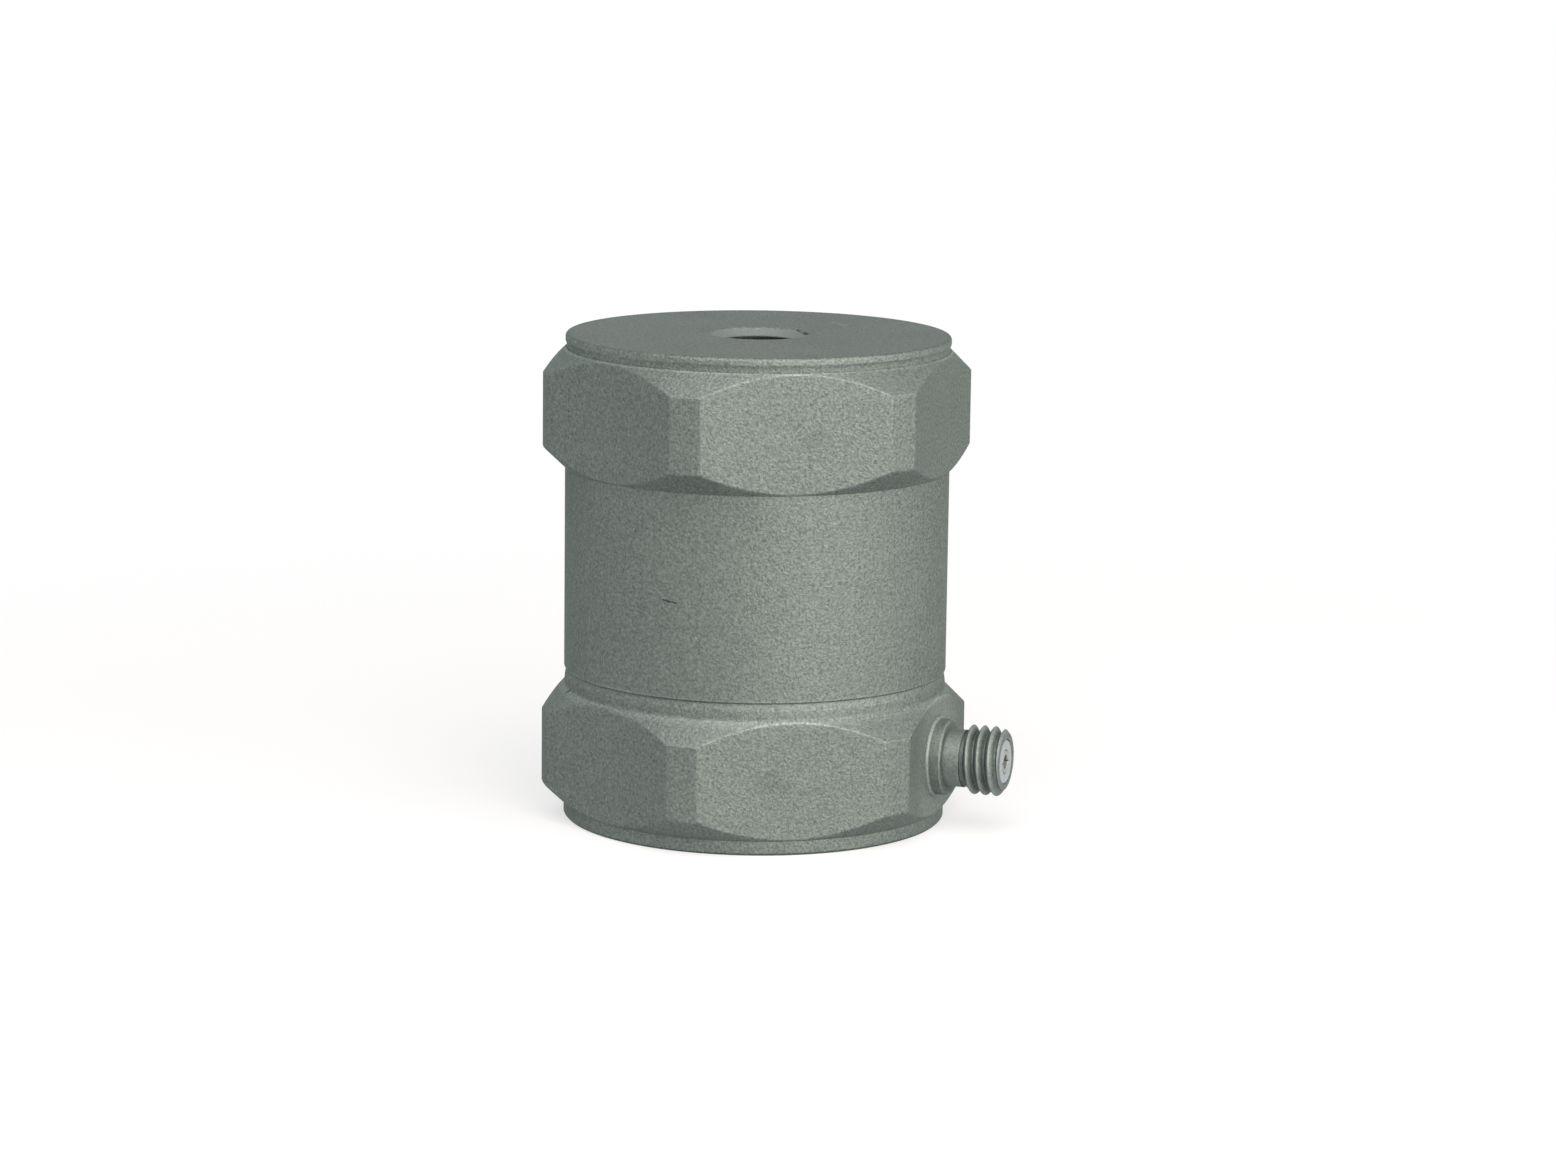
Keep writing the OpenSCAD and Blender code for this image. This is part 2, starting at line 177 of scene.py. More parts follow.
class ConnectorSizes(bpy.types.PropertyGroup):
    """Sizes of the side connector"""

    collar_r: length("Collar radius", "Radius of the collar on the hexagon's flat", 2.65)
    collar_l: length("Collar length", "Length of the collar on the hexagon's flat", 0.95)
    collar_bevel: length("Collar bevel", "Bevel of the collar's edge", 0.1)
    weld: length("Weld", "Leg of the weld round the collar's foot", 0.2)
    neck_r: length("Neck radius", "Radius of the smooth neck", 2.0)
    neck_l: length("Neck length", "Length of the smooth neck", 1.15)
    relief_r: length("Relief radius", "Radius of the relief behind the thread", 1.9)
    relief_l: length("Relief length", "Length of the relief behind the thread", 0.3)
    thread_r: length("Thread radius", "Radius of the thread's crests", 2.413)
    root_r: length("Root radius", "Radius of the thread's roots", 1.93)
    pitch: length("Pitch", "Pitch of the thread", 0.794)
    crest_x: length("First crest", "Distance of the first crest from the sensor's axis, on top", 16.03)
    tip_r: length("Tip radius", "Radius of the end face", 2.05)
    tip_l: length("Tip length", "Length of the chamfer at the end", 0.35)
    tail_r: length("Tail radius", "Radius of the tail inside the base", 2.2)
    fit_gap: length("Fit gap", "Radial gap of pieces that fit into each other", 0.05)
    socket_r: length("Socket radius", "Radius of the contact's hole", 0.5)
    socket_l: length("Socket depth", "Depth of the contact's hole", 2.0)
    contact_l: length("Contact length", "Length of the contact's wide end", 2.8)
    pin_r: length("Pin radius", "Radius of the contact's pin inside the sensor", 0.4)
    slit_w: length("Slit width", "Width of the slits in the contact's wide end", 0.1)
    slit_l: length("Slit length", "Length of the slits in the contact's wide end", 1.3)
    small_bevel: length("Small bevel", "Bevel of the insulator's and the contact's edges", 0.05)


class FinishColours(bpy.types.PropertyGroup):
    """Colours and roughness of the finishes"""

    steel: colour("Blasted steel", "Colour of the base and the housing", 0.148, 0.175, 0.162)
    steel_roughness: share("Steel roughness", "Roughness of the blasted steel", 0.58)
    bare: share("Bare metal", "Share of bare metal in the steel's dull skin", 0.8)
    thread_steel: colour("Connector steel", "Colour of the connector's shell", 0.184, 0.218, 0.204)
    thread_roughness: share("Connector roughness", "Roughness of the connector's shell", 0.6)
    # Painted shade in the connector's relief and thread roots
    root_shade: share("Grime", "How far grime darkens the roots of the connector's thread", 0.3)
    # The tapped walls are darkened as painted shade inside the holes
    tapped: share("Tapped wall", "How much darker the walls of the tapped holes are", 0.78)
    # The countersinks are lightened as a painted highlight
    sink_highlight: share("Countersink gloss", "How much brighter the cut countersinks are", 0.3)
    soot: colour("Scuff", "Colour of dark scuffs and nicks", 0.018, 0.022, 0.02)
    bright: colour("Bright scuff", "Colour of bare scuffs", 0.30, 0.32, 0.30)
    # The white insulator's colour is written grey, as painted shade
    plastic: colour("Insulator", "Colour of the white insulator", 0.230, 0.268, 0.287)
    contact: colour("Contact", "Colour of the plated contact", 0.24, 0.27, 0.25)


class StageSettings(bpy.types.PropertyGroup):
    """Camera, lamps and backdrop"""

    lens: FloatProperty(name="Lens", description="Focal length of the camera in mm", default=104.257)
    sensor: FloatProperty(name="Sensor", description="Width of the camera's sensor in mm", default=36.0)
    roll: angle("Roll", "Turn of the camera about its line of sight", 0.744)
    floor: length("Floor", "Side of the floor", 4000.0)
    floor_drop: length("Floor drop", "Gap between the floor and the sensor's underside", 0.02)
    lamp_distance: length("Lamp distance", "Distance of the soft lamps from the sensor", 500.0)
    lamp_size: length("Lamp size", "Side of the square soft lamps", 500.0)
    background: colour("Background", "Colour of the floor and the surroundings", 1.0, 1.0, 1.0)
    ambient: share("Ambient light", "Strength of the even light that matt pieces get", 0.2)
    matt_floor: colour("Matt floor", "Colour of the floor that takes the shadow", 0.93, 0.93, 0.93)
    glow: share("Floor glow", "Share of the white near the sensor that needs no lamp", 0.65)
    near: length("Near floor", "Distance to which the floor takes a full shadow", 45.0)
    far: length("Far floor", "Distance from which the floor is plain white", 130.0)


def arc(centre, radius, start, end, steps):
    """Points of an arc round centre, from start to end in degrees, both ends included"""
    turns = [math.radians(start + (end - start) * k / steps) for k in range(steps + 1)]
    return [(centre[0] + radius * math.cos(t), centre[1] + radius * math.sin(t)) for t in turns]


def rows(start, end, step):
    """Points from start towards end, about a step apart, without the end itself"""
    count = max(1, round(math.dist(start, end) / step))
    return [tuple(a + (b - a) * k / count for a, b in zip(start, end)) for k in range(count)]


def radius_of(vert):
    """Distance of a vertex from the Z axis"""
    return math.hypot(vert.co.x, vert.co.y)


def turned(outline, stops, start=0.0, closed=False):
    """A mesh spun from an outline of (radius, level) points, in stretches of (angle, steps)"""
    bm = bmesh.new()
    verts = [bm.verts.new((r * math.cos(start), r * math.sin(start), z)) for r, z in outline]
    ends = zip(verts, verts[1:] + verts[:1] if closed else verts[1:])
    ring = verts + [bm.edges.new(pair) for pair in ends]
    for stretch, steps in stops:
        made = bmesh.ops.spin(
            bm,
            geom=ring,
            cent=(0, 0, 0),
            axis=(0, 0, 1),
            dvec=(0, 0, 0),
            angle=stretch,
            steps=steps,
            use_merge=len(stops) == 1,
            use_duplicate=False,
        )
        ring = made["geom_last"]
    bmesh.ops.remove_doubles(bm, verts=bm.verts, dist=MERGE_DISTANCE)
    bmesh.ops.dissolve_degenerate(bm, edges=bm.edges, dist=MERGE_DISTANCE)
    bmesh.ops.recalc_face_normals(bm, faces=bm.faces)
    return bm


def hexagon_stops():
    """Half the angle of a flat, and the stretches of a spin that meet where the flats end"""
    half = math.acos(BASE_HIGH.x / BASE_HIGH.y)
    land = 2 * math.pi / SIDES - 2 * half
    return half, [(2 * half, FLAT_STEPS), (land, LAND_STEPS)] * SIDES


def hexagon_bar(sizes, level):
    """Outline of the round bar of a hexagon with its two chamfers, from a level up"""
    low = level + sizes.chamfer_low_h
    high = low + sizes.land_h
    top = high + sizes.chamfer_up_h
    return [(sizes.barrel_r, level), (BASE_HIGH.y, low), (BASE_HIGH.y, high), (sizes.barrel_r, top)]


def mill_flats(bm, flat_r):
    """Cuts six flats at a distance from the axis and closes them"""
    for side in range(SIDES):
        turn = 2 * math.pi * side / SIDES
        normal = Vector((math.cos(turn), math.sin(turn), 0))
        cut = bmesh.ops.bisect_plane(
            bm,
            geom=bm.verts[:] + bm.edges[:] + bm.faces[:],
            dist=PLANE_DISTANCE,
            plane_co=normal * flat_r,
            plane_no=normal,
            clear_outer=True,
        )
        rim = [part for part in cut["geom_cut"] if isinstance(part, bmesh.types.BMEdge)]
        bmesh.ops.edgeloop_fill(bm, edges=rim)
    bmesh.ops.recalc_face_normals(bm, faces=bm.faces)


def outer_edges(bm, inner_r, outer_r, bend):
    """The outer edges between two radii whose faces bend by more than an angle"""
    bm.normal_update()
    return [
        edge
        for edge in bm.edges
        if edge.is_manifold
        and edge.is_convex
        and edge.calc_face_angle() > bend
        and all(inner_r < radius_of(vert) < outer_r for vert in edge.verts)
    ]


def round_edges(bm, edges, width):
    """Rounds edges and marks the roundings in the mesh's layer that the steel lightens as wear and as a
    painted highlight
    """
    wear_and_highlight = bm.verts.layers.float["wear_and_highlight"]
    made = bmesh.ops.bevel(
        bm,
        geom=edges,
        offset=width,
        offset_type="OFFSET",
        affect="EDGES",
        segments=EDGE_SEGMENTS,
        profile=0.5,
        material=-1,
        clamp_overlap=True,
    )
    rounding = set(made["faces"])
    for vert in made["verts"]:
        if rounding.issuperset(vert.link_faces):
            vert[wear_and_highlight] = 1.0


def round_body(bm, sizes):
    """Rounds the edges of a body's plain rings, then those of its hexagon"""
    inner_r = sizes.barrel_r - sizes.lip_t * RING_REACH
    ring_edges = outer_edges(bm, inner_r, sizes.barrel_r + PLANE_DISTANCE, RING_BEND)
    limit = HOUSING_HIGH.z - sizes.top_round - PLANE_DISTANCE
    ring_edges = [edge for edge in ring_edges if max(vert.co.z for vert in edge.verts) < limit]
    wear_and_highlight = bm.verts.layers.float.new("wear_and_highlight")
    for vert in bm.verts:
        if vert.co.z > limit and radius_of(vert) > sizes.barrel_r - sizes.top_round / 2:
            vert[wear_and_highlight] = TOP_RIM_WEAR_AND_HIGHLIGHT
    round_edges(bm, ring_edges, sizes.ring_round)
    outside_r = sizes.barrel_r + sizes.edge_round / 2
    corners = outer_edges(bm, outside_r, 2 * sizes.barrel_r, CORNER_BEND)
    round_edges(bm, corners, sizes.edge_round)


def crest(turns):
    """Height of a rounded thread ridge, 1 on its crests at whole turns and 0 in its roots"""
    slope = abs(2 * (turns % 1.0) - 1)
    return slope * slope * (3 - 2 * slope)


def turns_at(vert, level, pitch):
    """Turns of a right-hand thread between a level and a vertex"""
    return (vert.co.z - level) / pitch - math.atan2(vert.co.y, vert.co.x) / (2 * math.pi)


def tap_hole(bm, sizes, mouth, sink_r, sink_h):
    """Presses an inner thread into the wall of a hole, below its countersink"""
    depth = sizes.thread_r - sizes.tap_r
    for vert in bm.verts:
        inside = abs(vert.co.z - mouth)
        if radius_of(vert) > sink_r or not sink_h < inside < sizes.tap_depth - MERGE_DISTANCE:
            continue
        from_end = (sizes.tap_depth - inside) / sizes.thread_pitch
        from_sink = (inside - sink_h) / sizes.thread_pitch
        fade = min(1.0, from_end, from_sink)
        reach = sizes.tap_r + depth * fade * (1 - crest(turns_at(vert, mouth, sizes.thread_pitch)))
        now = radius_of(vert)
        if sizes.tap_r - PLANE_DISTANCE < now < reach:
            vert.co.xy *= reach / now


def cut_thread(bm, sizes, start, end):
    """Cuts an outer thread between two levels of a bar"""
    depth = sizes.thread_r - sizes.root_r
    for vert in bm.verts:
        now = radius_of(vert)
        if start - PLANE_DISTANCE < vert.co.z < end + PLANE_DISTANCE:
            reach = sizes.root_r + depth * crest(turns_at(vert, sizes.crest_x, sizes.pitch))
            if now > reach:
                vert.co.xy *= reach / now


def lay_along_x(bm):
    """Turns a piece from its own axis onto the connector's, with its first side on top"""
    turn = Matrix(((0, 0, 1, 0), (0, -1, 0, 0), (1, 0, 0, CONNECTOR_Z), (0, 0, 0, 1)))
    bmesh.ops.transform(bm, matrix=turn, verts=bm.verts)


def rod(bm, radius, start, end, steps=ROD_STEPS):
    """Adds a closed round rod between two points"""
    along = Vector(end) - Vector(start)
    middle = Matrix.Translation((Vector(start) + Vector(end)) / 2)
    turn = along.to_track_quat("Z", "Y").to_matrix().to_4x4()
    bmesh.ops.create_cone(
        bm,
        cap_ends=True,
        segments=steps,
        radius1=radius,
        radius2=radius,
        depth=along.length,
        matrix=middle @ turn,
    )


def mesh_object(name, bm):
    """A mesh object at the origin made from a bmesh, which is used up"""
    mesh = bpy.data.meshes.new(name)
    bm.to_mesh(mesh)
    bm.free()
    made = bpy.data.objects.new(name, mesh)
    bpy.context.scene.collection.objects.link(made)
    return made


def drill(piece, cutter_bm):
    """Takes the closed shapes of a bmesh out of a piece"""
    cutter = mesh_object("drill", cutter_bm)
    cut = piece.modifiers.new("drill", "BOOLEAN")
    cut.operation = "DIFFERENCE"
    cut.solver = "EXACT"
    cut.object = cutter
    graph = bpy.context.evaluated_depsgraph_get()
    drilled = bpy.data.meshes.new_from_object(piece.evaluated_get(graph))
    piece.modifiers.clear()
    old = piece.data
    piece.data = drilled
    bpy.data.meshes.remove(old)
    drilled.name = piece.name
    bpy.data.meshes.remove(cutter.data)


def finish_piece(piece, material, stands_for):
    """Shades a piece, gives it its material and lets it stand for a node of the frame"""
    mesh = piece.data
    mesh.shade_smooth()
    mesh.set_sharp_from_angle(angle=SHARP_BEND)
    weights = piece.modifiers.new("face_weights", "WEIGHTED_NORMAL")
    weights.keep_sharp = True
    mesh.materials.clear()
    mesh.materials.append(material)
    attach(piece, "root")
    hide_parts(stands_for)


def node(tree, kind, inputs=(), **settings):
    """A shader node with its settings, and its inputs set or linked"""
    made = tree.nodes.new("ShaderNode" + kind)
    for key, value in settings.items():
        setattr(made, key, value)
    for socket, value in dict(inputs).items():
        if isinstance(value, bpy.types.NodeSocket):
            tree.links.new(value, made.inputs[socket])
        else:
            made.inputs[socket].default_value = value
    return made


def math_node(tree, operation, *values, clamp=False):
    """The output of a Math node"""
    return node(tree, "Math", dict(enumerate(values)), operation=operation, use_clamp=clamp).outputs[0]


def hypotenuse(tree, first, second):
    """The output of the length of two distances at a right angle"""
    squares = [math_node(tree, "MULTIPLY", side, side) for side in (first, second)]
    return math_node(tree, "SQRT", math_node(tree, "ADD", *squares))


def vector_node(tree, operation, *values, output="Vector"):
    """An output of a Vector Math node"""
    return node(tree, "VectorMath", dict(enumerate(values)), operation=operation).outputs[output]


def scale_node(tree, vector, factor):
    """A vector or a colour times a factor"""
    return node(tree, "VectorMath", {0: vector, "Scale": factor}, operation="SCALE").outputs["Vector"]


def blend_node(tree, factor, first, second):
    """The output of a colour Mix node"""
    made = node(tree, "Mix", {0: factor, 6: first, 7: second}, data_type="RGBA", blend_type="MIX")
    return made.outputs[2]


def ramp(tree, value, start, end, low=0.0, high=1.0, smooth=False):
    """A value that goes from low to high while another goes from start to end"""
    ends = {"Value": value, "From Min": start, "From Max": end, "To Min": low, "To Max": high}
    kind = "SMOOTHSTEP" if smooth else "LINEAR"
    return node(tree, "MapRange", ends, interpolation_type=kind).outputs["Result"]


def object_place(tree):
    """The place on the object, as outputs X, Y and Z"""
    return node(tree, "SeparateXYZ", {0: node(tree, "TexCoord").outputs["Object"]}).outputs


def place_group(tree, group, **values):
    """Places a node group, sets or links its inputs and returns its outputs"""
    return node(tree, "Group", values, node_tree=group).outputs


def new_group(name, inputs, outputs):
    """An empty shader node group with its sockets, its input node and its output node"""
    tree = bpy.data.node_groups.new(name, "ShaderNodeTree")
    for in_out, sockets in (("INPUT", inputs), ("OUTPUT", outputs)):
        for socket, kind in sockets.items():
            tree.interface.new_socket(socket, in_out=in_out, socket_type="NodeSocket" + kind)
    return tree, tree.nodes.new("NodeGroupInput").outputs, tree.nodes.new("NodeGroupOutput").inputs


def group_once(name, make):
    """A node group by its name, made the first time it is asked for"""
    return bpy.data.node_groups.get(name) or make(name)


def grain_group(name):
    """Grain of a matt surface: a shade about 1 and a height from fine noise over broad clouds"""
    tree, given, out = new_group(
        name,
        {"Grain": "Float", "Cloud": "Float", "Contrast": "Float", "Blotch": "Float"},
        {"Shade": "Float", "Height": "Float", "Clouds": "Float"},
    )
    place = node(tree, "TexCoord").outputs["Object"]
    fine_scale = math_node(tree, "DIVIDE", 1.0, given["Grain"])
    cloud_scale = math_node(tree, "DIVIDE", 1.0, given["Cloud"])
    fine = node(
        tree,
        "TexNoise",
        {"Vector": place, "Scale": fine_scale, "Detail": 1.0, "Roughness": 0.5, "Distortion": 0.6},
    )
    cloud = node(
        tree,
        "TexNoise",
        {"Vector": place, "Scale": cloud_scale, "Detail": 3.0, "Roughness": 0.55},
    )
    fine_part = math_node(tree, "SUBTRACT", fine.outputs[0], 0.5)
    cloud_part = math_node(tree, "SUBTRACT", cloud.outputs[0], 0.5)
    grain = math_node(tree, "MULTIPLY", fine_part, given["Contrast"])
    blotch = math_node(tree, "MULTIPLY", cloud_part, given["Blotch"])
    tree.links.new(math_node(tree, "ADD", math_node(tree, "ADD", grain, blotch), 1.0), out["Shade"])
    tree.links.new(fine.outputs[0], out["Height"])
    tree.links.new(cloud.outputs[0], out["Clouds"])
    return tree


def edge_group(name):
    """Masks of a piece's outer edges and of its inner corners, within a reach, for painted highlights on
    the edges and painted shade in the corners
    """
    tree, given, out = new_group(name, {"Reach": "Float"}, {"Edge": "Float", "Corner": "Float"})
    for inside, socket in ((True, "Edge"), (False, "Corner")):
        near = node(tree, "AmbientOcclusion", {"Distance": given["Reach"]}, inside=inside, samples=8)
        tree.links.new(math_node(tree, "SUBTRACT", 1.0, near.outputs["AO"], clamp=True), out[socket])
    return tree


def scuff_group(name):
    """Mask of a straight mark between two points, with soft sides"""
    tree, given, out = new_group(
        name, {"Start": "Vector", "End": "Vector", "Width": "Float"}, {"Mask": "Float"}
    )
    place = node(tree, "TexCoord").outputs["Object"]
    along = vector_node(tree, "SUBTRACT", given["End"], given["Start"])
    here = vector_node(tree, "SUBTRACT", place, given["Start"])
    done = math_node(
        tree,
        "DIVIDE",
        vector_node(tree, "DOT_PRODUCT", here, along, output="Value"),
        vector_node(tree, "DOT_PRODUCT", along, along, output="Value"),
        clamp=True,
    )
    away = vector_node(tree, "DISTANCE", here, scale_node(tree, along, done), output="Value")
    tree.links.new(ramp(tree, away, given["Width"], 0.0, smooth=True), out["Mask"])
    return tree


def new_material(name):
    """A material, its tree and its principled shader"""
    made = bpy.data.materials.new(name)
    made.use_nodes = True
    return made, made.node_tree, made.node_tree.nodes["Principled BSDF"]


def link(tree, output, shader, socket):
    """Links an output to one of a shader's sockets"""
    tree.links.new(output, shader.inputs[socket])


def bump(tree, shader, height, distance):
    """Feeds a height to a shader's normal"""
    made = node(tree, "Bump", {"Height": height, "Distance": distance, "Strength": 1.0})
    link(tree, made.outputs["Normal"], shader, "Normal")


def cloudy_roughness(tree, grain, roughness, spread):
    """A roughness that varies with the grain's clouds"""
    return math_node(tree, "MULTIPLY_ADD", grain["Clouds"], spread, roughness - spread / 2)


def shaded(tree, shade, effects):
    """A shade changed in turn by each mask and its change"""
    for mask, change in effects:
        shade = math_node(tree, "MULTIPLY", shade, math_node(tree, "MULTIPLY_ADD", mask, change, 1.0))
    return shade


# Marks on the steel: the two ends and the half width of each, in millimetres
DARK_SCUFFS = {
    "barrel_scratch": ((-2.05, -13.25, 17.31), (-1.07, -13.36, 17.16), 0.09),
    "barrel_tail": ((-1.75, -13.30, 17.27), (-1.60, -13.32, 17.20), 0.14),
    "low_nick": ((-11.26, -7.60, 9.12), (-10.80, -7.81, 9.37), 0.14),
    # A dark dash along the right edge of the top countersink
    "sink_dark_dash": ((1.80, 2.96, 33.98), (3.00, 1.50, 33.92), 0.12),
    "sink_dark_dash_end": ((2.60, 2.10, 33.91), (3.20, 1.18, 33.95), 0.22),
    "seam_tick": ((4.18, -12.63, 10.55), (4.18, -12.75, 10.05), 0.06),
}
BRIGHT_SCUFFS = {
    "top_scratch": ((2.67, 8.13, 34.0), (4.29, 6.37, 34.0), 0.16),
}
SMUDGES = {
    "upper_flat": ((8.25, -10.83, 28.75), (7.60, -11.20, 28.20), 0.9),
    "low_flat": ((5.0, -12.70, 5.4), (6.0, -12.12, 4.8), 1.3),
}
# Painted bands of light and shade on the turned edges: a contact shadow at the foot, highlights on the
# chamfers' tops, the lip, the seam's edge, the groove and the rim, and shade round the collar and on the
# rim's edge. Each gives a piece's level, the height above it and the half width in millimetres, and the
# change of shade
PAINTED_BANDS = {
    "foot": (BASE_LOW.z, 0.0, 0.26, -0.55),
    "chamfer_top": (HOUSING_LOW.z, -1.3, 0.46, 0.24),
    "collar_foot": (HOUSING_LOW.z, -0.98, 0.2, -0.12),
    "collar": (HOUSING_LOW.z, -0.72, 0.3, -0.05),
    "lip": (HOUSING_LOW.z, -0.28, 0.3, 0.05),
    "seam_edge": (HOUSING_LOW.z, 0.13, 0.1, 0.2),
    "upper_chamfer_top": (HOUSING_HIGH.z, -1.06, 0.14, 0.3),
    "groove": (HOUSING_HIGH.z, -0.8, 0.3, 0.14),
    "rim": (HOUSING_HIGH.z, -0.4, 0.25, 0.1),
    "rim_edge": (HOUSING_HIGH.z, -0.05, 0.14, -0.14),
}
# The painted bands lie outside this radius, and the tapped holes inside the next
RING_RADIUS = 13.1 * MM
HOLE_RADIUS = 3.48 * MM
# Depths between which a hole's countersink begins and between which its wall begins
SINK_DEPTHS = (0.0, 0.12 * MM)
WALL_DEPTHS = (0.48 * MM, 0.56 * MM)
# Radii between which the painted highlight on the flat round the connector fades in, and how near the flat
# it lies
FLAT_HIGHLIGHT_RADII = (5.9 * MM, 3.0 * MM)
FLAT_SKIN = 0.05 * MM
# Radii between which painted shade fills the connector's relief and thread roots, and where the connector's
# parts end
ROOT_SHADE_RADII = (2.32 * MM, 1.98 * MM)
BEAD_END = BASE_HIGH.x + 0.2 * MM
COLLAR_END = BASE_HIGH.x + 0.98 * MM
NECK_END = 15.58 * MM
TIP_START = SHELL_HIGH.x - 0.3 * MM
# Grain of the finishes, with the depth of its relief and the spread of roughness in its clouds
STEEL_GRAIN = {"Grain": 0.18 * MM, "Cloud": 5 * MM, "Contrast": 1.25, "Blotch": 0.12}
CONNECTOR_GRAIN = {"Grain": 0.14 * MM, "Cloud": 0.7 * MM, "Contrast": 0.9, "Blotch": 0.55}
PLAIN_GRAIN = {"Grain": 0.3 * MM, "Cloud": 2 * MM, "Blotch": 0.15}
STEEL_RELIEF, CONNECTOR_RELIEF, PLAIN_RELIEF = 0.045 * MM, 0.016 * MM, 0.004 * MM
STEEL_SPREAD, CONNECTOR_SPREAD, PLAIN_SPREAD = 0.12, 0.16, 0.16
# How near an edge or a corner its painted highlight or painted shade reaches
STEEL_REACH, CONNECTOR_REACH = 0.35 * MM, 0.4 * MM
# Where the rubbed edges are bare and carry a painted highlight: grain and clouds from start to end, wear
# from low to high
WEAR_GRAIN = (0.35, 0.65, 0.2, 1.2)
WEAR_CLOUDS = (0.42, 0.58, 0.2, 1.0)
WORN_GLOSS = 0.06
# How far the cut countersinks lack the blasted grain, and how far the scuffs cover the steel
CUT_SMOOTHNESS = 0.75
BRIGHT_COVER, DARK_COVER = 0.45, 0.85
# Changes of shade, up or down: painted highlights on the edges, on the rubbed roundings along with their
# wear and on the flat round the connector, painted shade in the corners, and darker smudges
STEEL_SHADES = {"edge": 0.14, "wear_and_highlight": 0.06, "corner": -0.04, "smudge": -0.12, "weld": 0.38}
# On the connector: painted highlights on the edges and on the weld bead, painted shade in the corners and
# on the collar, and a darker end
CONNECTOR_SHADES = {"edge": 0.16, "corner": -0.12, "tip": -0.1, "collar": -0.14, "bead": 0.22}
# Tint of the metal where it is seen at a slant
SLANT_TINT = (0.42, 0.42, 0.42, 1)


def scuffs(tree, marks):
    """The greatest of the masks of several marks"""
    total = None
    group = group_once("scuff", scuff_group)
    for start, end, width in marks.values():
        ends = {"Start": Vector(start) * MM, "End": Vector(end) * MM}
        mask = place_group(tree, group, Width=width * MM, **ends)["Mask"]
        total = mask if total is None else math_node(tree, "MAXIMUM", total, mask)
    return total


def ring_group(name):
    """Mask of a ring at a level, with soft sides, outside a radius"""
    tree, given, out = new_group(
        name, {"Level": "Float", "Width": "Float", "Radius": "Float"}, {"Mask": "Float"}
    )
    place = object_place(tree)
    away = math_node(tree, "ABSOLUTE", math_node(tree, "SUBTRACT", place["Z"], given["Level"]))
    soft = ramp(tree, away, given["Width"], 0.0, smooth=True)
    outside = math_node(tree, "GREATER_THAN", hypotenuse(tree, place["X"], place["Y"]), given["Radius"])
    tree.links.new(math_node(tree, "MULTIPLY", soft, outside), out["Mask"])
    return tree


def rings(tree):
    """The masks of the painted bands of light and shade, each with its change of shade"""
    group = group_once("ring", ring_group)
    for level, above, width, change in PAINTED_BANDS.values():
        ring = place_group(tree, group, Level=level + above * MM, Width=width * MM, Radius=RING_RADIUS)
        yield ring["Mask"], change


def hole_masks(tree):
    """Masks of the tapped holes' walls, for painted shade, and of the countersinks above them, for a
    painted highlight
    """
    place = object_place(tree)
    near = math_node(tree, "LESS_THAN", hypotenuse(tree, place["X"], place["Y"]), HOLE_RADIUS)
    from_top = math_node(tree, "SUBTRACT", HOUSING_HIGH.z, place["Z"])
    depth = math_node(tree, "MINIMUM", place["Z"], from_top)
    deep = ramp(tree, depth, *WALL_DEPTHS)
    sunk = ramp(tree, depth, *SINK_DEPTHS)
    wall = math_node(tree, "MULTIPLY", near, deep)
    cone = math_node(tree, "MULTIPLY", near, math_node(tree, "SUBTRACT", sunk, deep))
    return wall, cone


def from_connector(tree, place):
    """Distance of a place from the connector's axis"""
    return hypotenuse(tree, place["Y"], math_node(tree, "SUBTRACT", place["Z"], CONNECTOR_Z))


def flat_highlight_mask(tree):
    """Mask of the painted highlight on the flat round the connector's foot"""
    place = object_place(tree)
    near = ramp(tree, from_connector(tree, place), *FLAT_HIGHLIGHT_RADII, smooth=True)
    on_flat = math_node(tree, "GREATER_THAN", place["X"], BASE_HIGH.x - FLAT_SKIN)
    return math_node(tree, "MULTIPLY", near, on_flat)


def set_metal(shader, bare):
    """Sets the share of bare metal in a steel, whose matt rest has no gloss of its own"""
    shader.inputs["Metallic"].default_value = bare
    shader.inputs["Specular IOR Level"].default_value = 0.0
    shader.inputs["Specular Tint"].default_value = SLANT_TINT


